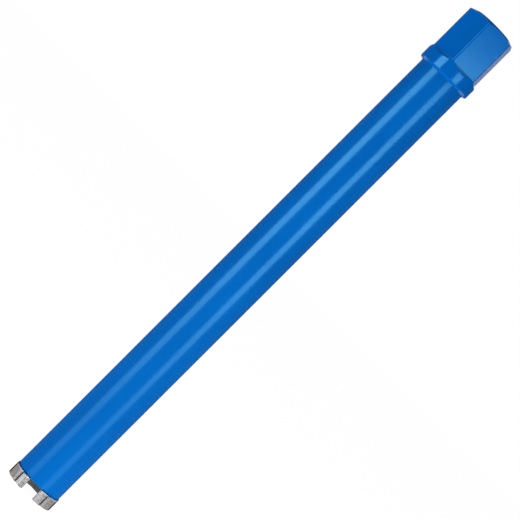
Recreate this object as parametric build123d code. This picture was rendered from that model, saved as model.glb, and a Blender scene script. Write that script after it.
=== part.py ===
from build123d import *
import math
import os

# Wet diamond core bit, standing on its crown.
# Millimetres and degrees. The origin is on the bit's axis, in the plane of the cutting faces,
# and +Z runs along the axis to the hub. The side that the photograph shows faces -Y.

# Barrel tube
tube_od = 40.5
tube_wall = 2.0
cutting_face_to_collar = 435.4

# Diamond segments
segment_count = 3
segment_height = 10.0
segment_outer_radius = 21.0
segment_thickness = 3.5
segment_gap_angle = 35.4
first_gap_direction = -88.3
segment_groove_depth = 0.9
segment_recess_depth = 0.9
segment_end_fillet = 0.7
segment_edge_chamfer = 0.25

# Places across a segment's outer face, as angles from its clockwise end or its other end
wide_pad_angle = 18.7
wide_pad_wall_angle = 3.0
narrow_groove_angle = 4.5
narrow_pad_angle = 8.9
narrow_pad_wall_angle = 2.5
wide_groove_angle = 9.0

# The recess in the middle of a segment's inner face
recess_floor_angle = 8.0
recess_wall_angle = 4.0

# Solder between the tube's rim and the segments
solder_film = 0.2
solder_toe_inset = 0.2
solder_bead_height = 1.0

# Hub
collar_radius = 23.3
collar_low_chamfer = 1.2
collar_length = 9.7
hex_across_flats = 41.0
hex_corner_direction = -97.1
flat_runout = 3.0
hex_length = 40.4
end_chamfer_width = 5.6
end_chamfer_slope = 25.0
socket_depth = 7.0
socket_clearance = 0.05
socket_mouth_chamfer = 0.7

# Bore for the internal machine thread, 1 1/4 inch with 7 turns to the inch, at its nominal
# diameter, and the water passage below it
thread_radius = 15.875
thread_length = 38.0
thread_mouth_chamfer = 0.9
water_bore_radius = 14.2

# Values that follow from those above
tube_radius = tube_od / 2
bore_radius = tube_radius - tube_wall
segment_inner_radius = segment_outer_radius - segment_thickness
segment_span = 360 / segment_count - segment_gap_angle
rim_height = segment_height + solder_film
collar_bottom = cutting_face_to_collar
tube_top = collar_bottom + socket_depth
ramp_start = collar_bottom + collar_length
flats_start = ramp_start + flat_runout
hub_top = flats_start + hex_length
socket_radius = tube_radius + socket_clearance
flat_distance = hex_across_flats / 2
flat_depth = collar_radius - flat_distance
end_chamfer_drop = end_chamfer_width * math.tan(math.radians(end_chamfer_slope))
thread_floor = hub_top - thread_length


def polar(radius, angle):
    """A point in the XY plane, by its radius and its direction in degrees."""
    return (radius * math.cos(math.radians(angle)), radius * math.sin(math.radians(angle)))


def arc_through(radius, start, end):
    """An arc round the axis from one direction to another."""
    return ThreePointArc(polar(radius, start), polar(radius, (start + end) / 2), polar(radius, end))


def make_barrel_tube():
    """The thin-walled tube between the segments' rim and the shoulder in the hub's socket."""
    length = tube_top - rim_height
    section = Circle(tube_radius) - Circle(bore_radius)
    return Pos(0, 0, rim_height) * extrude(section, amount=length)


def segment_outline(middle):
    """The closed outline of one segment, seen along the axis."""
    start = middle - segment_span / 2
    end = middle + segment_span / 2
    outer = segment_outer_radius
    groove = segment_outer_radius - segment_groove_depth
    inner = segment_inner_radius
    recess = segment_inner_radius + segment_recess_depth

    # Outer face, from the clockwise end: pad, groove, middle pad, groove, pad
    pad_end = start + wide_pad_angle
    low_1 = pad_end + wide_pad_wall_angle
    low_2 = low_1 + narrow_groove_angle
    middle_start = low_2 + wide_pad_wall_angle
    last_pad = end - narrow_pad_angle
    low_4 = last_pad - narrow_pad_wall_angle
    low_3 = low_4 - wide_groove_angle
    middle_end = low_3 - narrow_pad_wall_angle
    outer_edges = [
        arc_through(outer, start, pad_end),
        Line(polar(outer, pad_end), polar(groove, low_1)),
        arc_through(groove, low_1, low_2),
        Line(polar(groove, low_2), polar(outer, middle_start)),
        arc_through(outer, middle_start, middle_end),
        Line(polar(outer, middle_end), polar(groove, low_3)),
        arc_through(groove, low_3, low_4),
        Line(polar(groove, low_4), polar(outer, last_pad)),
        arc_through(outer, last_pad, end),
    ]

    # Inner face, back again: pad, recess behind the middle pad, pad
    floor_half = recess_floor_angle / 2
    mouth_half = floor_half + recess_wall_angle
    inner_edges = [
        Line(polar(outer, end), polar(inner, end)),
        arc_through(inner, end, middle + mouth_half),
        Line(polar(inner, middle + mouth_half), polar(recess, middle + floor_half)),
        arc_through(recess, middle + floor_half, middle - floor_half),
        Line(polar(recess, middle - floor_half), polar(inner, middle - mouth_half)),
        arc_through(inner, middle - mouth_half, start),
        Line(polar(inner, start), polar(outer, start)),
    ]
    return make_face(outer_edges + inner_edges)


def segment_middle(index):
    """The direction of a segment's middle: the gaps lie half way between the middles."""
    pitch = 360 / segment_count
    return first_gap_direction + pitch * (index + 0.5)


def make_segment(index):
    """One sintered segment, its ends and its cutting edges slightly rounded by the mould."""
    middle = segment_middle(index)
    segment = extrude(segment_outline(middle), amount=segment_height)
    end_directions = [middle - segment_span / 2, middle + segment_span / 2]
    corner_radii = [segment_inner_radius, segment_outer_radius]
    corners = [polar(radius, angle) for radius in corner_radii for angle in end_directions]

    def is_corner(edge):
        place = edge.center()
        return any(math.hypot(place.X - x, place.Y - y) < 0.01 for x, y in corners)

    upright = segment.edges().filter_by(Axis.Z).filter_by(is_corner)
    segment = fillet(upright, radius=segment_end_fillet)
    cutting_edges = segment.faces().sort_by(Axis.Z)[0].edges()
    return chamfer(cutting_edges, length=segment_edge_chamfer)


def make_segment_solder(index):
    """The seam between the rim and one segment, with a bead outside and one inside."""
    outer_toe = (segment_outer_radius - solder_toe_inset, segment_height)
    inner_toe = (segment_inner_radius + solder_toe_inset, segment_height)
    bead_top = rim_height + solder_bead_height
    section = make_face(Polyline(
        inner_toe, outer_toe, (tube_radius, bead_top), (tube_radius, rim_height),
        (bore_radius, rim_height), (bore_radius, bead_top), close=True))
    seam = revolve(Plane.XZ * section, axis=Axis.Z, revolution_arc=segment_span)
    return seam.rotate(Axis.Z, segment_middle(index) - segment_span / 2)


def make_hub_solder_ring():
    """The solder fillet round the tube, sunk in the mouth of the hub's socket."""
    section = make_face(Polyline(
        (tube_radius, collar_bottom - socket_mouth_chamfer),
        (socket_radius + socket_mouth_chamfer, collar_bottom),
        (socket_radius, collar_bottom + socket_mouth_chamfer),
        (tube_radius, collar_bottom + socket_mouth_chamfer), close=True))
    return revolve(Plane.XZ * section, axis=Axis.Z)


def hub_blank():
    """The turned blank: collar, barrel for the hexagon and the end with its shallow chamfer."""
    section = make_face(Polyline(
        (0, collar_bottom),
        (collar_radius - collar_low_chamfer, collar_bottom),
        (collar_radius, collar_bottom + collar_low_chamfer),
        (collar_radius, hub_top - end_chamfer_drop),
        (collar_radius - end_chamfer_width, hub_top),
        (0, hub_top), close=True))
    return revolve(Plane.XZ * section, axis=Axis.Z)


def flat_cutter(direction):
    """What the mill takes off for one flat, with the ramp where the cutter runs out."""
    spare = 2.0
    reach = flat_distance + flat_depth + spare
    slope = flat_runout / flat_depth
    ramp_foot = flats_start - slope * (reach - flat_distance)
    section = make_face(Polyline(
        (flat_distance, flats_start), (reach, ramp_foot),
        (reach, hub_top + spare), (flat_distance, hub_top + spare), close=True))
    width = 2 * collar_radius
    cutter = extrude(Plane.XZ * section, amount=width / 2, both=True)
    return cutter.rotate(Axis.Z, direction)


def hub_bore():
    """What is bored out of the hub: the tube's socket, the water passage and the thread's bore."""
    section = make_face(Polyline(
        (0, collar_bottom), (socket_radius + socket_mouth_chamfer, collar_bottom),
        (socket_radius, collar_bottom + socket_mouth_chamfer), (socket_radius, tube_top),
        (water_bore_radius, tube_top), (water_bore_radius, thread_floor),
        (thread_radius, thread_floor), (thread_radius, hub_top - thread_mouth_chamfer),
        (thread_radius + thread_mouth_chamfer, hub_top), (0, hub_top), close=True))
    return revolve(Plane.XZ * section, axis=Axis.Z)


def make_hub():
    """The hub: the turned blank with its bores and six milled flats."""
    hub = hub_blank() - hub_bore()
    for side in range(6):
        hub -= flat_cutter(hex_corner_direction + 30 + 60 * side)
    return hub


nodes = {
    "barrel_tube": make_barrel_tube(),
    "hub": make_hub(),
    "hub_solder_ring": make_hub_solder_ring(),
}
for index in range(segment_count):
    nodes[f"segment_{index + 1}"] = make_segment(index)
    nodes[f"segment_solder_{index + 1}"] = make_segment_solder(index)

os.makedirs("parts", exist_ok=True)
for name, solid in nodes.items():
    solid.label = name
    export_step(solid, f"parts/{name}.step")
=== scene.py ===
import math

import bmesh
import bpy
from mathutils import Matrix, Vector, noise


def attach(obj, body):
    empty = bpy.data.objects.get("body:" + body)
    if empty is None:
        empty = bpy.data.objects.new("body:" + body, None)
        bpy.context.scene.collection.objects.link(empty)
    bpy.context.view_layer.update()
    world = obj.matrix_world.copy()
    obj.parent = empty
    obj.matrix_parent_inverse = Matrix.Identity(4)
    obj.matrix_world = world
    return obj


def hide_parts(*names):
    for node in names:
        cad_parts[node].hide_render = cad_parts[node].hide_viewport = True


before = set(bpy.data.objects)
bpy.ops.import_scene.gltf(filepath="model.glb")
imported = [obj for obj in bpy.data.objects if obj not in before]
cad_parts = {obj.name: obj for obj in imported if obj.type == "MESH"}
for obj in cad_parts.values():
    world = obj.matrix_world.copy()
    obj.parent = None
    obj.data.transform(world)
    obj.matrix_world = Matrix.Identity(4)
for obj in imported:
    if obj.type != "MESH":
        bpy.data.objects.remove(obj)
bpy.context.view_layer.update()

# Everything is in metres and stands in the CAD frame: +Z along the axis to the hub, -Y to the
# side that the photograph shows. These sizes are the CAD part's.
MM = 0.001
TUBE_RADIUS = 20.25 * MM
BORE_RADIUS = 18.25 * MM
RIM_HEIGHT = 10.2 * MM
TUBE_TOP = 442.4 * MM
SEGMENT_HEIGHT = 10.0 * MM
SEGMENT_OUTER = 21.0 * MM
SEGMENT_INNER = 17.5 * MM
SEGMENT_SPAN = 84.6
SEGMENT_CORNER = 0.7 * MM
FIRST_GAP = -88.3
COLLAR_BOTTOM = 435.4 * MM
COLLAR_TOP = 445.1 * MM
SOCKET_RADIUS = 20.3 * MM
SOCKET_CHAMFER = 0.7 * MM
HUB_TOP = 488.5 * MM
FLAT_DIRECTION = -67.1

# The internal thread, 1 1/4 inch with 7 turns to the inch
THREAD_MAJOR = 15.875 * MM
THREAD_MINOR = 14.2 * MM
THREAD_LENGTH = 38.0 * MM
THREAD_PITCH = 25.4 / 7 * MM
THREAD_FLANK = math.radians(30)

# How far the painted highlight reaches in from the edges of the milled flats
EDGE_HIGHLIGHT_BORDER = 0.6 * MM

# Points closer than this are one point
SAME_POINT = 1e-7

# Edges that are broken or worn, by their radius
HUB_EDGE = 0.35 * MM
RIM_OUTER_EDGE = 0.35 * MM
RIM_INNER_EDGE = 0.3 * MM
THREAD_CREST_EDGE = 0.25 * MM
SEGMENT_EDGE = 0.28 * MM


def linear(code):
    """An sRGB colour such as '#0058B0' as linear red, green, blue and alpha."""
    parts = [int(code[i:i + 2], 16) / 255 for i in (1, 3, 5)]
    return [p / 12.92 if p <= 0.04045 else ((p + 0.055) / 1.055) ** 2.4 for p in parts] + [1.0]


# Materials

def add(tree, kind, inputs=None, **settings):
    """Add one shader node. Each input is a number, a colour or another node's output."""
    node = tree.nodes.new("ShaderNode" + kind)
    for name, value in settings.items():
        setattr(node, name, value)
    for name, value in (inputs or {}).items():
        if isinstance(value, bpy.types.NodeSocket):
            tree.links.new(value, node.inputs[name])
        else:
            node.inputs[name].default_value = value
    return node


def start_material(name):
    """A new material with its tree, its one shader and the place on the piece, in metres."""
    material = bpy.data.materials.new(name)
    material.use_nodes = True
    tree = material.node_tree
    shader = tree.nodes["Principled BSDF"]
    place = add(tree, "TexCoord").outputs["Object"]
    return material, tree, shader, place


def grain(tree, place, size, detail=2.0, roughness=0.5):
    """Noise whose grains are size = (x, y, z) metres across."""
    scaled = add(tree, "Mapping", {"Vector": place, "Scale": [1 / s for s in size]})
    return add(tree, "TexNoise", {
        "Vector": scaled.outputs[0], "Scale": 1.0, "Detail": detail, "Roughness": roughness,
    }).outputs["Fac"]


def levels(tree, value, low, high, to_low=0.0, to_high=1.0):
    """Stretch a value so that low..high becomes to_low..to_high, clamped."""
    return add(tree, "MapRange", {
        "Value": value, "From Min": low, "From Max": high, "To Min": to_low, "To Max": to_high,
    }).outputs[0]


def blend(tree, factor, first, second):
    """Mix two colours."""
    node = add(tree, "Mix", {0: factor}, data_type="RGBA")
    for index, value in ((6, first), (7, second)):
        if isinstance(value, bpy.types.NodeSocket):
            tree.links.new(value, node.inputs[index])
        else:
            node.inputs[index].default_value = value
    return node.outputs[2]


def make_paint(name, deep, light, rough, stretched):
    """Gloss enamel sprayed thinly on turned steel: the tool lines of the steel run round the
    piece and show through where it catches the light. Along milled edges it is paler, a painted
    highlight of the edges. On the ground tube the lines stretch each reflection along the tube."""
    material, tree, shader, place = start_material(name)
    cloud = grain(tree, place, (25 * MM, 25 * MM, 60 * MM), 3.0)
    colour = blend(tree, levels(tree, cloud, 0.35, 0.65), linear(deep), linear(light))
    # A paler blue where the mesh marks it is a painted highlight along the milled edges
    thin = add(tree, "Attribute", attribute_name="painted_edge_highlight").outputs["Fac"]
    colour = blend(tree, thin, colour, linear("#3F95E0"))
    tree.links.new(colour, shader.inputs["Base Color"])

    # Tool lines lie about 0.1 mm apart. They are drawn at 0.35 mm, with a slower wave over
    # them, so that they show
    lines = grain(tree, place, (12 * MM, 12 * MM, 0.35 * MM), 3.0)
    wave = grain(tree, place, (20 * MM, 20 * MM, 1.6 * MM), 2.0)
    turned = add(tree, "Math", {0: lines, 1: wave}, operation="ADD").outputs[0]
    roughness = levels(tree, turned, 0.7, 1.3, rough - 0.03, rough + 0.05)
    tree.links.new(roughness, shader.inputs["Roughness"])
    bump = add(tree, "Bump", {"Height": turned, "Strength": 0.15, "Distance": 0.02 * MM})
    tree.links.new(bump.outputs[0], shader.inputs["Normal"])
    shader.inputs["Specular IOR Level"].default_value = 0.7
    shader.inputs["Specular Tint"].default_value = linear("#76DCFF")
    if stretched:
        tangent = add(tree, "Tangent", direction_type="RADIAL", axis="Z")
        tree.links.new(tangent.outputs[0], shader.inputs["Tangent"])
        shader.inputs["Anisotropic"].default_value = 0.6
        shader.inputs["Anisotropic Rotation"].default_value = 0.25
    return material


def make_bore_paint():
    """The same enamel inside the tube, darkened to a deep navy as painted shade, with pale specks
    of dry overspray up to half a millimetre across."""
    material, tree, shader, place = start_material("enamel_inside_tube_with_painted_shade")
    cells = add(tree, "TexVoronoi", {"Vector": place, "Scale": 1 / (2.6 * MM), "Randomness": 1.0})
    chance = add(tree, "SeparateXYZ", {0: cells.outputs["Color"]}).outputs[0]
    size = levels(tree, chance, 0.72, 1.0, 0.0, 0.09)
    speck = add(tree, "Math", {0: cells.outputs["Distance"], 1: size},
                operation="LESS_THAN").outputs[0]
    cloud = grain(tree, place, (6 * MM, 6 * MM, 9 * MM), 3.0)
    # The deep navy of the inside is painted shade
    body = blend(tree, levels(tree, cloud, 0.3, 0.7), linear("#002A56"), linear("#003264"))
    tree.links.new(blend(tree, speck, body, linear("#8FC0E4")), shader.inputs["Base Color"])
    tree.links.new(levels(tree, cloud, 0.3, 0.7, 0.45, 0.6), shader.inputs["Roughness"])
    shader.inputs["Specular IOR Level"].default_value = 0.2
    return material


def make_segment_bond():
    """Sintered metal bond with diamond grit: a dull grey granular metal, ground smoother on the
    outer pads, with painted shade and painted highlights on chosen walls and pads, and dusted
    with paint from the root."""
    material, tree, shader, place = start_material("sintered_diamond_bond")
    flat = add(tree, "VectorMath", {0: place, 1: (1, 1, 0)}, operation="MULTIPLY").outputs[0]
    radius = add(tree, "VectorMath", {0: flat}, operation="LENGTH").outputs["Value"]
    height = add(tree, "SeparateXYZ", {0: place}).outputs[2]
    on_pad = levels(tree, radius, SEGMENT_OUTER - 0.25 * MM, SEGMENT_OUTER - 0.1 * MM)
    inside = levels(tree, radius, BORE_RADIUS + 0.35 * MM, BORE_RADIUS - 0.05 * MM)

    # Grit of about 40 mesh, which is 0.4 mm, drawn at 0.45 mm so that it shows
    grit = grain(tree, place, (0.45 * MM,) * 3, 4.0, 0.65)
    fine = grain(tree, place, (0.16 * MM,) * 3, 2.0, 0.6)
    body = blend(tree, levels(tree, grit, 0.32, 0.68), linear("#A9A9AA"), linear("#DCDCDE"))
    body = blend(tree, levels(tree, fine, 0.35, 0.7, 0.0, 0.5), body, linear("#E6E6E9"))

    # Grinding lines run round the crown on the outer pads, with worn patches and open pits
    # between. Real lines are about 0.05 mm apart; they are drawn at 0.14 mm so that they show
    strokes = grain(tree, place, (2.5 * MM, 2.5 * MM, 0.14 * MM), 3.0, 0.6)
    wear = grain(tree, place, (3.2 * MM, 3.2 * MM, 0.7 * MM), 2.0, 0.6)
    ground = blend(tree, levels(tree, strokes, 0.3, 0.7), linear("#A09D9F"), linear("#DDDADC"))
    ground = blend(tree, levels(tree, wear, 0.44, 0.62, 0.0, 0.7), ground, linear("#7E7A7C"))
    pits = add(tree, "TexVoronoi", {"Vector": place, "Scale": 1 / (1.5 * MM)})
    chance = add(tree, "SeparateXYZ", {0: pits.outputs["Color"]}).outputs[0]
    pit_size = levels(tree, chance, 0.55, 1.0, 0.0, 0.17)
    pit = add(tree, "Math", {0: pits.outputs["Distance"], 1: pit_size},
              operation="LESS_THAN").outputs[0]
    ground = blend(tree, pit, ground, linear("#4A4947"))
    colour = blend(tree, on_pad, body, ground)

    # Painted shade and painted highlights on chosen walls, floors and pads, and the painted shade
    # of the inner side
    dark = add(tree, "Attribute", attribute_name="painted_shade_area").outputs["Fac"]
    colour = blend(tree, dark, colour, linear("#2E2D2B"))
    # Painted highlights on a groove wall and a pad border
    light = add(tree, "Attribute", attribute_name="painted_highlight_area").outputs["Fac"]
    colour = blend(tree, light, colour, linear("#F6F6F8"))
    shade = levels(tree, radius, BORE_RADIUS + 0.5 * MM, BORE_RADIUS + 0.2 * MM, 0.0, 0.8)
    colour = blend(tree, shade, colour, linear("#6C6D68"))

    # Paint comes down from the root to a jagged edge: high on the outside, highest on the pads,
    # and half way down on the inside
    jag = grain(tree, place, (1.6 * MM,) * 3, 4.0, 0.6)
    edge_out = levels(tree, jag, 0.3, 0.7, 9.0 * MM, 10.1 * MM)
    edge_in = levels(tree, jag, 0.3, 0.7, 4.2 * MM, 6.4 * MM)
    edge = add(tree, "Mix", {0: inside, 2: edge_out, 3: edge_in}).outputs[0]
    lift = add(tree, "Math", {0: on_pad, 1: 0.9 * MM}, operation="MULTIPLY").outputs[0]
    edge = add(tree, "Math", {0: edge, 1: lift}, operation="ADD").outputs[0]
    painted = add(tree, "Math", {0: height, 1: edge}, operation="GREATER_THAN").outputs[0]

    # The pads' pale fringe below the paint
    below = add(tree, "Math", {0: edge, 1: height}, operation="SUBTRACT").outputs[0]
    near = levels(tree, below, 1.3 * MM, 0.8 * MM, 0.0, 0.9)
    fringe = add(tree, "Math", {0: near, 1: on_pad}, operation="MULTIPLY").outputs[0]
    colour = blend(tree, fringe, colour, linear("#EFEFF2"))
    # The paint is a deeper blue on the inner side: painted shade, as inside the tube
    blue = blend(tree, inside, linear("#0A5FB0"), linear("#073C72"))
    tree.links.new(blend(tree, painted, colour, blue), shader.inputs["Base Color"])

    bare = add(tree, "Math", {0: 1.0, 1: painted}, operation="SUBTRACT").outputs[0]
    metal = add(tree, "Math", {0: bare, 1: 0.55}, operation="MULTIPLY").outputs[0]
    tree.links.new(metal, shader.inputs["Metallic"])
    rough = add(tree, "Mix", {0: on_pad, 2: 0.62, 3: 0.42}).outputs[0]
    tree.links.new(rough, shader.inputs["Roughness"])
    relief = add(tree, "Mix", {0: on_pad, 2: grit, 3: strokes}).outputs[0]
    bump = add(tree, "Bump", {"Height": relief, "Strength": 0.6, "Distance": 0.08 * MM})
    tree.links.new(bump.outputs[0], shader.inputs["Normal"])
    return material


def make_thread_steel():
    """Cut carbon steel with a film of oil: fine tool lines along the thread, no paint."""
    material, tree, shader, place = start_material("oiled_cut_steel")

    # The tool's lines are about 0.05 mm apart, and are drawn at 0.12 mm so that they show
    lines = grain(tree, place, (6 * MM, 6 * MM, 0.12 * MM), 3.0)
    colour = blend(tree, levels(tree, lines, 0.3, 0.7), linear("#6F7276"), linear("#989B9E"))
    tree.links.new(colour, shader.inputs["Base Color"])
    shader.inputs["Metallic"].default_value = 1.0
    tree.links.new(levels(tree, lines, 0.3, 0.7, 0.28, 0.42), shader.inputs["Roughness"])
    bump = add(tree, "Bump", {"Height": lines, "Strength": 0.4, "Distance": 0.02 * MM})
    tree.links.new(bump.outputs[0], shader.inputs["Normal"])
    return material


TUBE_PAINT = make_paint("gloss_enamel_on_ground_tube", "#005BAE", "#0061B7", 0.23, True)
HUB_PAINT = make_paint("gloss_enamel_on_machined_hub", "#005BB1", "#0060BB", 0.14, False)
# The seams' darker blue is painted shade of the joint under the segments' overhang
SEAM_PAINT = make_paint("gloss_enamel_on_solder_with_painted_shade", "#003066", "#00458A", 0.2, False)
BORE_PAINT = make_bore_paint()
SEGMENT_BOND = make_segment_bond()
THREAD_STEEL = make_thread_steel()


# Pieces

def finish_piece(name, bm, materials, replaced, sharp=40):
    """Turn a bmesh into a piece of the object, smooth but for edges sharper than an angle."""
    for face in bm.faces:
        face.smooth = True
    for edge in bm.edges:
        edge.smooth = len(edge.link_faces) != 2 or edge.calc_face_angle(0) < math.radians(sharp)
    mesh = bpy.data.meshes.new(name)
    bm.to_mesh(mesh)
    bm.free()
    for material in materials:
        mesh.materials.append(material)
    piece = bpy.data.objects.new(name, mesh)
    bpy.context.scene.collection.objects.link(piece)
    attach(piece, "root")
    if replaced:
        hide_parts(*replaced)
    return piece


def face_outwards(bm):
    """Make the faces of a closed piece agree and turn them outwards. The recalculation alone can
    settle on the inside of a curved piece, which a negative volume shows."""
    bmesh.ops.recalc_face_normals(bm, faces=bm.faces)
    if bm.calc_volume(signed=True) < 0:
        bmesh.ops.reverse_faces(bm, faces=bm.faces)


def lathe(bm, profile, steps=192, angle=360.0, closed=True):
    """Spin a profile of (radius, height) points round the axis."""
    points = [bm.verts.new((radius, 0, height)) for radius, height in profile]
    edges = [bm.edges.new(pair) for pair in zip(points, points[1:])]
    if closed:
        edges.append(bm.edges.new((points[-1], points[0])))
    full = angle == 360.0
    bmesh.ops.spin(bm, geom=points + edges, cent=(0, 0, 0), axis=(0, 0, 1),
                   angle=math.radians(angle), steps=steps, use_merge=full)
    bmesh.ops.remove_doubles(bm, verts=bm.verts, dist=SAME_POINT)
    face_outwards(bm)


def rounded(corner, before, after, radius, steps=4):
    """Points of a small curve that rounds one corner of a profile."""
    corner, before, after = Vector(corner), Vector(before), Vector(after)
    first = corner + (before - corner).normalized() * radius
    last = corner + (after - corner).normalized() * radius
    points = []
    for i in range(steps + 1):
        t = i / steps
        points.append(tuple(first * (1 - t) ** 2 + corner * 2 * t * (1 - t) + last * t ** 2))
    return points


def round_profile(corners, radii):
    """A closed profile with each corner rounded by its own radius."""
    points = []
    count = len(corners)
    for i, corner in enumerate(corners):
        if radii[i]:
            points += rounded(corner, corners[i - 1], corners[(i + 1) % count], radii[i])
        else:
            points.append(corner)
    return points


def from_axis(place):
    """The distance of a point from the bit's axis."""
    return math.hypot(place.x, place.y)


def make_tube():
    """The long tube, with the rim's edges broken and painted shade on the enamel inside it."""
    bm = bmesh.new()
    corners = [(TUBE_RADIUS, RIM_HEIGHT), (TUBE_RADIUS, TUBE_TOP), (BORE_RADIUS, TUBE_TOP),
               (BORE_RADIUS, RIM_HEIGHT)]
    lathe(bm, round_profile(corners, [RIM_OUTER_EDGE, 0, 0, RIM_INNER_EDGE]), steps=256)
    for face in bm.faces:
        if from_axis(face.calc_center_median()) < BORE_RADIUS + 0.25 * MM:
            face.material_index = 1
    return finish_piece("painted_tube", bm, [TUBE_PAINT, BORE_PAINT],
                        ["barrel_tube"])


def make_hub():
    """The machined hub: the CAD's own shape with its edges broken."""
    bm = bmesh.new()
    bm.from_mesh(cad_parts["hub"].data)
    bmesh.ops.remove_doubles(bm, verts=bm.verts, dist=2e-6)
    bmesh.ops.dissolve_limit(bm, angle_limit=math.radians(0.5), verts=bm.verts, edges=bm.edges)
    edges = [e for e in bm.edges if len(e.link_faces) == 2
             and e.calc_face_angle_signed(0) > math.radians(20)]
    bmesh.ops.bevel(bm, geom=edges, offset=HUB_EDGE, offset_type="OFFSET", segments=3,
                    profile=0.5, affect="EDGES", clamp_overlap=True, material=-1)

    # A paler blue along the borders of the flats is a painted highlight of their edges, strongest
    # near the collar and to +X
    smallest_flat = 300 * MM * MM
    flats = [f for f in bm.faces if abs(f.normal.z) < 0.02 and f.calc_area() > smallest_flat]
    thin = bm.verts.layers.float.new("painted_edge_highlight")
    borders = {v for f in flats for v in f.verts}
    bmesh.ops.inset_individual(bm, faces=flats, thickness=EDGE_HIGHLIGHT_BORDER)
    for vert in bm.verts:
        vert[thin] = 0.0
    for vert in borders:
        sideways = min(1.0, (vert.co.x + 22 * MM) / (14 * MM))
        up_the_hub = (vert.co.z - COLLAR_TOP) / (HUB_TOP - COLLAR_TOP)
        vert[thin] = sideways * (0.9 - 0.7 * up_the_hub)

    # No paint on the thread
    for face in bm.faces:
        place = face.calc_center_median()
        if from_axis(place) < THREAD_MAJOR + 0.1 * MM and place.z < HUB_TOP - 0.5 * MM:
            face.material_index = 1
    hub = finish_piece("painted_hub", bm, [HUB_PAINT, THREAD_STEEL], ["hub"],
                       sharp=30)

    # The milled flats stay truly flat, and the turned faces truly round
    for polygon in hub.data.polygons:
        direction = math.degrees(math.atan2(polygon.normal.y, polygon.normal.x))
        off_flat = abs((direction - FLAT_DIRECTION + 30) % 60 - 30)
        outside = polygon.center.xy.length > 18 * MM and polygon.center.z > COLLAR_TOP
        if off_flat < 1.5 and outside and polygon.area > 0.5 * MM * MM:
            polygon.use_smooth = False
    level = hub.modifiers.new("round_faces_stay_round", "WEIGHTED_NORMAL")
    level.weight = 60
    level.keep_sharp = True
    return hub


def make_thread():
    """The helical ridge of the internal thread, faded out at both ends."""
    bm = bmesh.new()
    root = THREAD_MAJOR + 0.05 * MM
    crest_half = THREAD_PITCH / 8
    root_half = crest_half + (root - THREAD_MINOR) * math.tan(THREAD_FLANK)
    start = HUB_TOP - THREAD_LENGTH + root_half + 0.5 * MM
    turns = (THREAD_LENGTH - 2 * root_half - 0.6 * MM) / THREAD_PITCH
    steps_per_turn = 72
    steps = int(turns * steps_per_turn)
    corners = [(THREAD_MINOR, -crest_half), (THREAD_MINOR, crest_half),
               (root, root_half), (root, -root_half)]
    profile = round_profile(corners, [THREAD_CREST_EDGE, THREAD_CREST_EDGE, 0, 0])
    points = [bm.verts.new((radius, 0, start + height)) for radius, height in profile]
    cap = bm.faces.new(points)
    bmesh.ops.spin(bm, geom=[cap] + cap.verts[:] + cap.edges[:], cent=(0, 0, 0), axis=(0, 0, 1),
                   dvec=(0, 0, THREAD_PITCH / steps_per_turn), steps=steps,
                   angle=math.radians(360 * steps / steps_per_turn), use_merge=False)
    bmesh.ops.remove_doubles(bm, verts=bm.verts, dist=SAME_POINT)

    # Both ends run out into the bore: at 45 degrees at the mouth, a little slower at the foot
    mouth = HUB_TOP - 1.9 * MM
    foot = start - root_half + 1.6 * MM
    for vert in bm.verts:
        radius = from_axis(vert.co)
        fade = max(0.0, vert.co.z - mouth, (foot - vert.co.z) * 0.8)
        wanted = min(max(radius, THREAD_MINOR + fade), root)
        vert.co.x *= wanted / radius
        vert.co.y *= wanted / radius
    face_outwards(bm)
    return finish_piece("hub_thread_ridge", bm, [THREAD_STEEL], [], sharp=35)


def make_solder_ring():
    """The silver solder fillet round the tube below the collar, hollow in section and uneven,
    painted over."""
    bm = bmesh.new()
    inner = TUBE_RADIUS - 0.02 * MM
    low = COLLAR_BOTTOM - SOCKET_CHAMFER
    high = COLLAR_BOTTOM + SOCKET_CHAMFER
    profile = [(inner, low), (TUBE_RADIUS + 0.12 * MM, low + 0.28 * MM),
               (TUBE_RADIUS + 0.34 * MM, low + 0.53 * MM),
               (SOCKET_RADIUS + SOCKET_CHAMFER, COLLAR_BOTTOM),
               (SOCKET_RADIUS, high), (inner, high)]
    lathe(bm, profile, steps=160)
    for vert in bm.verts:
        vert.co.z += 0.12 * MM * noise.noise(vert.co * 220)
    return finish_piece("painted_solder_ring", bm, [HUB_PAINT],
                        ["hub_solder_ring"])


# Places across a segment, in degrees from its clockwise end, with the depth there in millimetres
OUTER_PLACES = [(0, 0), (18.7, 0), (21.7, 0.9), (26.2, 0.9), (29.2, 0), (61.7, 0), (64.2, 0.9),
                (73.2, 0.9), (75.7, 0), (84.6, 0)]
INNER_PLACES = [(0, 0), (34.3, 0), (38.3, 0.9), (46.3, 0.9), (50.3, 0), (84.6, 0)]

# What lies between two angles and two depths gets painted shade or a painted highlight, by the
# share given last
PAINTED_SHADE_AREAS = [(17.2, 18.9, -0.1, 0.12, 0.7), (18.0, 23.2, 0.12, 1.2, 1.0),
              (23.2, 29.4, 0.12, 1.2, 0.2), (61.2, 64.9, 0.12, 1.2, 1.0),
              (75.9, 83.8, -0.1, 0.12, 0.25)]
PAINTED_HIGHLIGHT_AREAS = [(72.0, 75.6, 0.12, 1.2, 1.0), (54.5, 59.5, -0.1, 0.12, 0.4)]

# The first segment has painted shade on a border of its middle pad and on its last wall instead
# of the painted highlights
FIRST_PAINTED_SHADE_AREAS = PAINTED_SHADE_AREAS + [(53.5, 62.5, -0.1, 1.2, 1.0), (71.0, 76.6, -0.1, 1.2, 1.0)]


def depth_at(places, angle):
    """The depth of the grooves at an angle, in metres."""
    for (a, low), (b, high) in zip(places, places[1:]):
        if a <= angle <= b:
            return (low + (high - low) * (angle - a) / (b - a)) * MM
    return 0.0


def divided(stops, step):
    """The stops with even steps between them, none longer than step."""
    values = [stops[0]]
    for a, b in zip(stops, stops[1:]):
        count = max(1, math.ceil((b - a) / step - 1e-6))
        values += [a + (b - a) * (i + 1) / count for i in range(count)]
    return values


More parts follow.
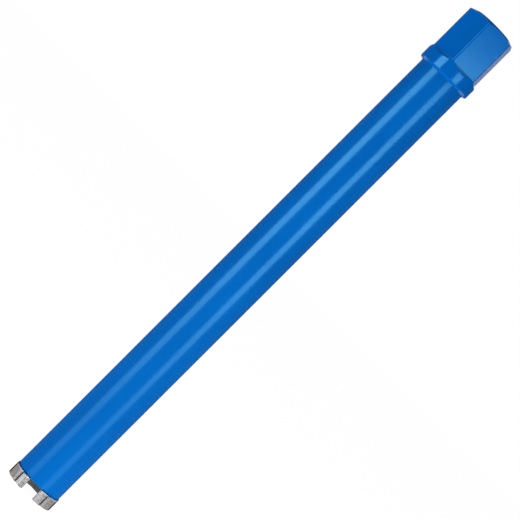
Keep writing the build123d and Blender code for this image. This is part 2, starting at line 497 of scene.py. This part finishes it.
def divided_cube(counts):
    """A cube of side 1 from the origin, whose sides hold so many grid lines across X, Y and Z."""
    bm = bmesh.new()
    bmesh.ops.create_cube(bm, size=1.0, matrix=Matrix.Translation((0.5, 0.5, 0.5)))
    for axis, count in enumerate(counts):
        along = [e for e in bm.edges
                 if abs(e.verts[0].co[axis] - e.verts[1].co[axis]) > 0.5]
        bmesh.ops.subdivide_edges(bm, edges=along, cuts=count - 2, use_grid_fill=True)
    return bm


def mark_areas(bm, name, areas, start):
    """Write the share of each area on the points of a segment that starts at a direction."""
    layer = bm.verts.layers.float.new(name)
    for vert in bm.verts:
        angle = (math.degrees(math.atan2(vert.co.y, vert.co.x)) - start) % 360
        depth = SEGMENT_OUTER - from_axis(vert.co)
        for first, last, shallow, deep, share in areas:
            if first < angle < last and shallow * MM < depth < deep * MM:
                vert[layer] = share


def make_segment(index):
    """One sintered segment: a fine box bent round the axis, with moulded corners and a
    slightly granular surface."""
    # Grid lines in degrees, millimetres and shares, closer together where the edges are round
    ends = [0, 0.15, 0.4, 0.8, 1.3, 1.9]
    stops = ends + [p[0] for p in OUTER_PLACES + INNER_PLACES] + [SEGMENT_SPAN - e for e in ends]
    columns = divided(sorted(set(round(s, 3) for s in stops)), 0.9)
    rows = [h * MM for h in divided([0, 0.05, 0.14, 0.28, 9.72, 9.86, 9.95, 10.0], 0.4)]
    depths = divided([0, 0.05, 0.12, 0.22, 0.78, 0.88, 0.95, 1.0], 0.12)
    bm = divided_cube((len(columns), len(depths), len(rows)))

    # Bend it round the axis, from the segment's clockwise end
    start = FIRST_GAP + 120 * (index + 0.5) - SEGMENT_SPAN / 2
    middle_radius = (SEGMENT_OUTER + SEGMENT_INNER) / 2
    length = math.radians(SEGMENT_SPAN) * middle_radius
    for vert in bm.verts:
        angle = columns[round(vert.co.x * (len(columns) - 1))]
        share = depths[round(vert.co.y * (len(depths) - 1))]
        height = rows[round(vert.co.z * (len(rows) - 1))]
        outer = SEGMENT_OUTER - depth_at(OUTER_PLACES, angle)
        inner = SEGMENT_INNER + depth_at(INNER_PLACES, angle)
        along = math.radians(angle) * middle_radius
        across = inner + (outer - inner) * share

        # Round the upright corners, then draw the outline in near the flat ends
        held_along = min(max(along, SEGMENT_CORNER), length - SEGMENT_CORNER)
        held_across = min(max(across, inner + SEGMENT_CORNER), outer - SEGMENT_CORNER)
        step = Vector((along - held_along, across - held_across))
        if abs(step.x) > 0 and abs(step.y) > 0:
            step = step.normalized() * max(abs(step.x), abs(step.y))
            along, across = held_along + step.x, held_across + step.y
        near = max(0.0, SEGMENT_EDGE - min(height, SEGMENT_HEIGHT - height))
        drawn_in = SEGMENT_EDGE - math.sqrt(SEGMENT_EDGE ** 2 - near ** 2)
        along = min(max(along, drawn_in), length - drawn_in)
        across = min(max(across, inner + drawn_in), outer - drawn_in)
        turn = math.radians(start) + along / middle_radius
        vert.co = (across * math.cos(turn), across * math.sin(turn), height)

    # Points that the edges' rounding has brought together become one
    bmesh.ops.remove_doubles(bm, verts=bm.verts, dist=SAME_POINT)
    face_outwards(bm)
    bm.normal_update()
    mark_areas(bm, "painted_shade_area", PAINTED_SHADE_AREAS if index else FIRST_PAINTED_SHADE_AREAS, start)
    mark_areas(bm, "painted_highlight_area", PAINTED_HIGHLIGHT_AREAS if index else [], start)

    # The surface is granular, smoothest on the ground pads and coarsest at the cutting face
    pads = SEGMENT_OUTER - 0.1 * MM
    moves = []
    for vert in bm.verts:
        rough = 0.012 if from_axis(vert.co) > pads else 0.045
        if vert.co.z < 0.3 * MM:
            rough = 0.06
        grit = noise.noise(vert.co * 1600 + Vector((index, 0, 0)))
        lumps = noise.noise(vert.co * 500)
        moves.append((vert, vert.normal * rough * MM * (grit + 0.7 * lumps)))
    for vert, move in moves:
        vert.co += move
        vert.co.z = max(vert.co.z, 0.0)
    return finish_piece(f"sintered_segment_{index + 1}", bm, [SEGMENT_BOND],
                        [f"segment_{index + 1}"], sharp=60)


# The section of a solder seam, in millimetres out from the tube's outer and inner edge at the
# rim, and up from the rim
OUTER_BEAD = [(0.00, 1.25), (0.10, 0.85), (0.27, 0.50), (0.48, 0.22), (0.66, -0.02), (0.62, -0.3)]
INNER_BEAD = [(-0.58, -0.3), (-0.62, -0.02), (-0.45, 0.25), (-0.25, 0.55), (-0.09, 0.9),
              (0.0, 1.25)]
SEAM_CORE = 0.1 * MM

# Blobs where the solder has run into the grooves and round the ends: direction from the seam's
# clockwise end and width, in degrees
SEAM_BLOBS = [(23.95, 3.2), (68.7, 5.0), (0.5, 1.6), (84.1, 1.6)]
SEAM_END_GAP = 0.5


def bead_anchor(place):
    """The radius of the tube's edge that a point of a seam's bead belongs to, if any."""
    radius = from_axis(place)
    in_toe = place.z > RIM_HEIGHT + 0.6 * MM
    if radius > TUBE_RADIUS + 0.01 * MM or (in_toe and radius > TUBE_RADIUS - 0.05 * MM):
        return TUBE_RADIUS
    if radius < BORE_RADIUS - 0.01 * MM or (in_toe and radius < BORE_RADIUS + 0.05 * MM):
        return BORE_RADIUS
    return None


def make_seam(index):
    """The painted solder along one segment's root: a thin bead outside and inside, with a
    blob where it has run into each groove and round each end."""
    bm = bmesh.new()
    profile = [(TUBE_RADIUS + x * MM, RIM_HEIGHT + z * MM) for x, z in OUTER_BEAD]
    profile += [(BORE_RADIUS + x * MM, RIM_HEIGHT + z * MM) for x, z in INNER_BEAD]
    profile += [(BORE_RADIUS + SEAM_CORE, RIM_HEIGHT + SEAM_CORE),
                (TUBE_RADIUS - SEAM_CORE, RIM_HEIGHT + SEAM_CORE)]
    span = SEGMENT_SPAN - 2 * SEAM_END_GAP
    lathe(bm, profile, steps=220, angle=span)
    bmesh.ops.holes_fill(bm, edges=[e for e in bm.edges if e.is_boundary])
    for vert in bm.verts:
        anchor = bead_anchor(vert.co)
        if anchor is None:
            continue
        radius = from_axis(vert.co)
        angle = math.degrees(math.atan2(vert.co.y, vert.co.x)) % 360
        swell = sum(math.exp(-((angle - place) / width) ** 2) for place, width in SEAM_BLOBS)
        where = Vector((radius * 90, angle * 0.35, index * 7.0))
        uneven = 0.45 * noise.noise(where) + 0.25 * noise.noise(where * 3.1)
        size = max(0.75 + uneven + 0.45 * swell, 0.45)
        new_radius = anchor + (radius - anchor) * min(size, 1.35)
        vert.co.x *= new_radius / radius
        vert.co.y *= new_radius / radius
        high = vert.co.z - RIM_HEIGHT
        if high > 0:
            vert.co.z = RIM_HEIGHT + high * size
    start = FIRST_GAP + 120 * (index + 0.5) - span / 2
    bmesh.ops.rotate(bm, verts=bm.verts, cent=(0, 0, 0),
                     matrix=Matrix.Rotation(math.radians(start), 3, "Z"))
    face_outwards(bm)
    return finish_piece(f"painted_solder_seam_{index + 1}", bm, [SEAM_PAINT],
                        [f"segment_solder_{index + 1}"], sharp=60)


make_tube()
make_hub()
make_thread()
make_solder_ring()
for segment_index in range(3):
    make_segment(segment_index)
    make_seam(segment_index)


# Studio

def stage_piece(name, bm, material):
    """A piece of the studio, which isn't part of the object."""
    mesh = bpy.data.meshes.new(name)
    bm.to_mesh(mesh)
    bm.free()
    mesh.materials.append(material)
    piece = bpy.data.objects.new(name, mesh)
    bpy.context.scene.collection.objects.link(piece)
    return piece


def studio_material(name):
    """A new material without its standard shader, with its tree and the socket to link to."""
    material = bpy.data.materials.new(name)
    material.use_nodes = True
    tree = material.node_tree
    tree.nodes.remove(tree.nodes["Principled BSDF"])
    return material, tree, tree.nodes["Material Output"].inputs["Surface"]


def seen_white(tree):
    """1 for the rays that show the background: camera, glossy and transmission."""
    path = add(tree, "LightPath")
    rays = add(tree, "Math", {0: path.outputs["Is Camera Ray"], 1: path.outputs["Is Glossy Ray"]},
               operation="ADD").outputs[0]
    return add(tree, "Math", {0: rays, 1: path.outputs["Is Transmission Ray"]},
               operation="ADD", use_clamp=True).outputs[0]


def make_floor():
    """A matt white sweep, lifted to white for the eye but still taking the object's shadow."""
    material, tree, surface = studio_material("matt_white_floor")
    diffuse = add(tree, "BsdfDiffuse", {"Color": linear("#F2F2F2")})
    white = add(tree, "Emission", {"Color": (1, 1, 1, 1), "Strength": 1.14})
    share = add(tree, "Math", {0: seen_white(tree), 1: 0.85}, operation="MULTIPLY").outputs[0]
    mixed = add(tree, "MixShader", {0: share, 1: diffuse.outputs[0], 2: white.outputs[0]})
    tree.links.new(mixed.outputs[0], surface)
    bm = bmesh.new()
    bmesh.ops.create_circle(bm, cap_ends=True, radius=12.0, segments=64)
    floor = stage_piece("floor", bm, material)
    floor.visible_glossy = False
    floor.visible_shadow = False
    return floor


# The flags stand round the object like a drum. Directions are in degrees from straight behind
# it, positive to the right. The wall is open between two directions up to each height
FLAG_RADIUS = 2.6
FLAG_FLOOR = -1.2
FLAG_ROOF = 4.0
WALL_OPENINGS = [(-0.75, (-40, 40)), (0.55, (-6, 8)), (1.6, (-10, 15))]
FLOOR_OPENING = (-45, 60)
FLOOR_OPENING_START = 1.6


def make_flags():
    """Dark cloth flags round the object, which only reflections see: they keep the paint deep
    blue between the two streaks and at the outlines. White shows through the opening behind,
    which is widest at the bottom and reaches into the floor cloth."""
    material, tree, surface = studio_material("black_flag_cloth")
    cloth = add(tree, "Emission", {"Color": linear("#303030"), "Strength": 1.0})
    tree.links.new(cloth.outputs[0], surface)
    bm = bmesh.new()
    outline = [(0, FLAG_FLOOR), (FLOOR_OPENING_START, FLAG_FLOOR), (FLAG_RADIUS, FLAG_FLOOR)]
    outline += [(FLAG_RADIUS, top) for top, limits in WALL_OPENINGS]
    outline += [(FLAG_RADIUS, FLAG_ROOF), (0, FLAG_ROOF)]
    lathe(bm, outline, steps=90, closed=False)
    opening = []
    for face in bm.faces:
        middle = face.calc_center_median()
        radius = from_axis(middle)
        bearing = math.degrees(math.atan2(middle.x, middle.y))
        if middle.z < FLAG_FLOOR + 0.1:
            limits = FLOOR_OPENING if radius > FLOOR_OPENING_START else (0, 0)
        else:
            limits = next((limits for top, limits in WALL_OPENINGS if middle.z < top), (0, 0))
        if limits[0] < bearing < limits[1]:
            opening.append(face)
    bmesh.ops.delete(bm, geom=opening, context="FACES")
    flags = stage_piece("flags", bm, material)
    flags.visible_camera = False
    flags.visible_diffuse = False
    flags.visible_shadow = False
    flags.visible_transmission = False
    flags.visible_volume_scatter = False
    return flags


SOFTBOX_DISTANCE = 1.2


def hang(lamp, bearing, distance, height, aimed_at):
    """Hang a lamp round the object, aimed at a height on the axis. Its bearing is in degrees
    round the axis, from the photographed side."""
    turn = math.radians(-90 + bearing)
    place = Vector((distance * math.cos(turn), distance * math.sin(turn), height))
    aim = Vector((0, 0, aimed_at)) - place
    tilt = aim.to_track_quat("-Z", "Y").to_matrix().to_4x4()
    hung = bpy.data.objects.new(lamp.name, lamp)
    hung.matrix_world = Matrix.Translation(place) @ tilt
    hung.visible_camera = False
    bpy.context.scene.collection.objects.link(hung)
    return hung


def add_softbox(name, bearing, width, radiance, bands):
    """A tall softbox made of bands (bottom, top, share of its brightness)."""
    for number, (bottom, top, share) in enumerate(bands):
        lamp = bpy.data.lights.new(f"{name}_{number + 1}", "AREA")
        lamp.shape = "RECTANGLE"
        lamp.size = width
        lamp.size_y = top - bottom
        lamp.energy = 4 * radiance * share * width * (top - bottom)
        middle = (top + bottom) / 2
        hang(lamp, bearing, SOFTBOX_DISTANCE, middle, middle)


def add_fill(name, bearing, distance, height, aimed_at, size, power, color=(1, 1, 1)):
    """A soft lamp that lifts one end of the object and makes no reflection."""
    lamp = bpy.data.lights.new(name, "AREA")
    lamp.shape = "SQUARE"
    lamp.size = size
    lamp.energy = power
    lamp.color = color
    hang(lamp, bearing, distance, height, aimed_at).visible_glossy = False


make_floor()
make_flags()

# Two softboxes give the two streaks along the tube, fainter towards the crown
LOW_BANDS = [(-0.5, -0.1, 0.25), (-0.1, 0.1, 0.62), (0.1, 0.25, 0.85)]
add_softbox("softbox_left", -45.5, 0.60, 4.1, LOW_BANDS + [(0.25, 0.66, 1.0)])
add_softbox("softbox_right", 42, 0.54, 3.9, LOW_BANDS + [(0.25, 0.575, 1.0)])

# Soft lamps low in front for the crown, high in front for the hub, and behind for the rear
WARM = (1.0, 1.0, 0.9)
add_fill("low_fill_right", 60, 0.6, -0.35, 0.05, 0.3, 4.3, WARM)
add_fill("low_fill_left", -60, 0.5, -0.3, 0.05, 0.3, 2.1, WARM)
add_fill("top_fill", 0, 0.4, 1.7, 0.45, 0.5, 5.0)
add_fill("back_fill_left", -150, 1.5, 0.5, 0.3, 0.9, 10.0)
add_fill("back_fill_right", 150, 1.5, 0.5, 0.3, 0.9, 10.0)

world = bpy.data.worlds.new("white_studio")
bpy.context.scene.world = world
world.use_nodes = True
sky = world.node_tree
brightness = add(sky, "Mix", {0: seen_white(sky), 2: 0.18, 3: 1.0}).outputs[0]
sky.links.new(brightness, sky.nodes["Background"].inputs["Strength"])
sky.nodes["Background"].inputs["Color"].default_value = (1, 1, 1, 1)

# The photograph's camera, found by fitting the outlines of the part to the picture
CAMERA_PLACE = (18.217 * MM, -1706.445 * MM, 288.117 * MM)
CAMERA_TURN = (87.8982, -45.0059, 2.0935)
camera_data = bpy.data.cameras.new("camera")
camera_data.sensor_width = 36.0
camera_data.lens = 158.75
camera_data.clip_start = 0.05
camera_data.clip_end = 60.0
camera = bpy.data.objects.new("camera", camera_data)
camera.location = CAMERA_PLACE
camera.rotation_euler = [math.radians(a) for a in CAMERA_TURN]
bpy.context.scene.collection.objects.link(camera)
bpy.context.scene.camera = camera
bpy.context.scene.view_settings.view_transform = "Standard"
